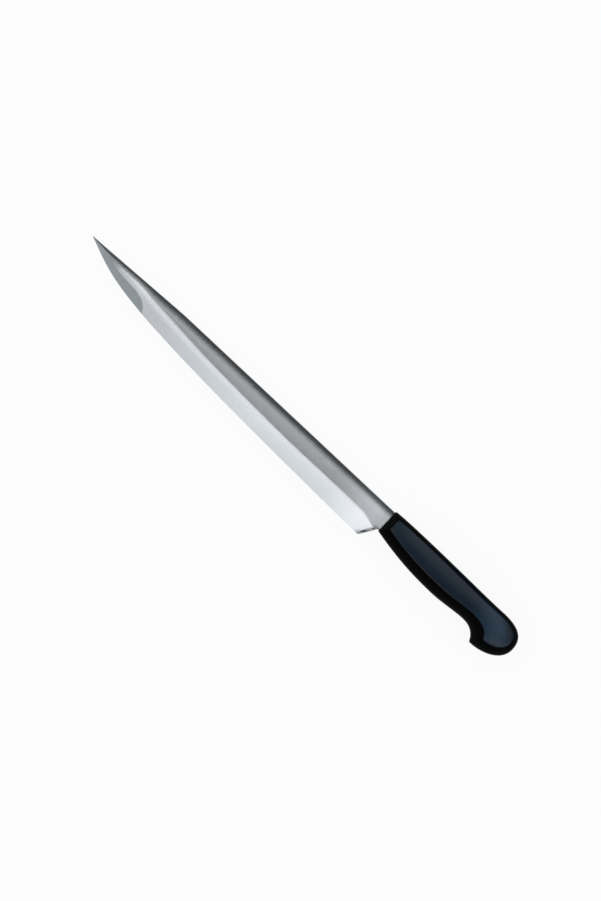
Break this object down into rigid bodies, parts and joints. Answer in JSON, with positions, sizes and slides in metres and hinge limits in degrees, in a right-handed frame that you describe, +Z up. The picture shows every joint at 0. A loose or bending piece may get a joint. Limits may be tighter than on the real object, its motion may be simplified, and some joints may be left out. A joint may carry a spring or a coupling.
{
  "type": "fillet knife",
  "caption": "Long fixed-blade knife for filleting and slicing: slim ground steel blade with a drop to the tip and a slanted heel, in a black moulded handle with a beaked butt.",
  "frame": {"origin": "on the lower flat side panel of the handle, at half the handle's length and on the centre line of the tang", "axes": "+X runs from the blade's tip to the butt of the handle, +Y towards the back of the blade, +Z is up, through the thickness, with the knife lying on its side"},
  "size_m": [0.431, 0.0342, 0.018],
  "materials": {
    "blade_steel": "ground satin, with fine marks across the blade",
    "handle_plastic": "satin moulded black"
  },
  "bodies": {
    "root": {"blade": "blade_steel", "handle": "handle_plastic"}
  },
  "joints": []
}
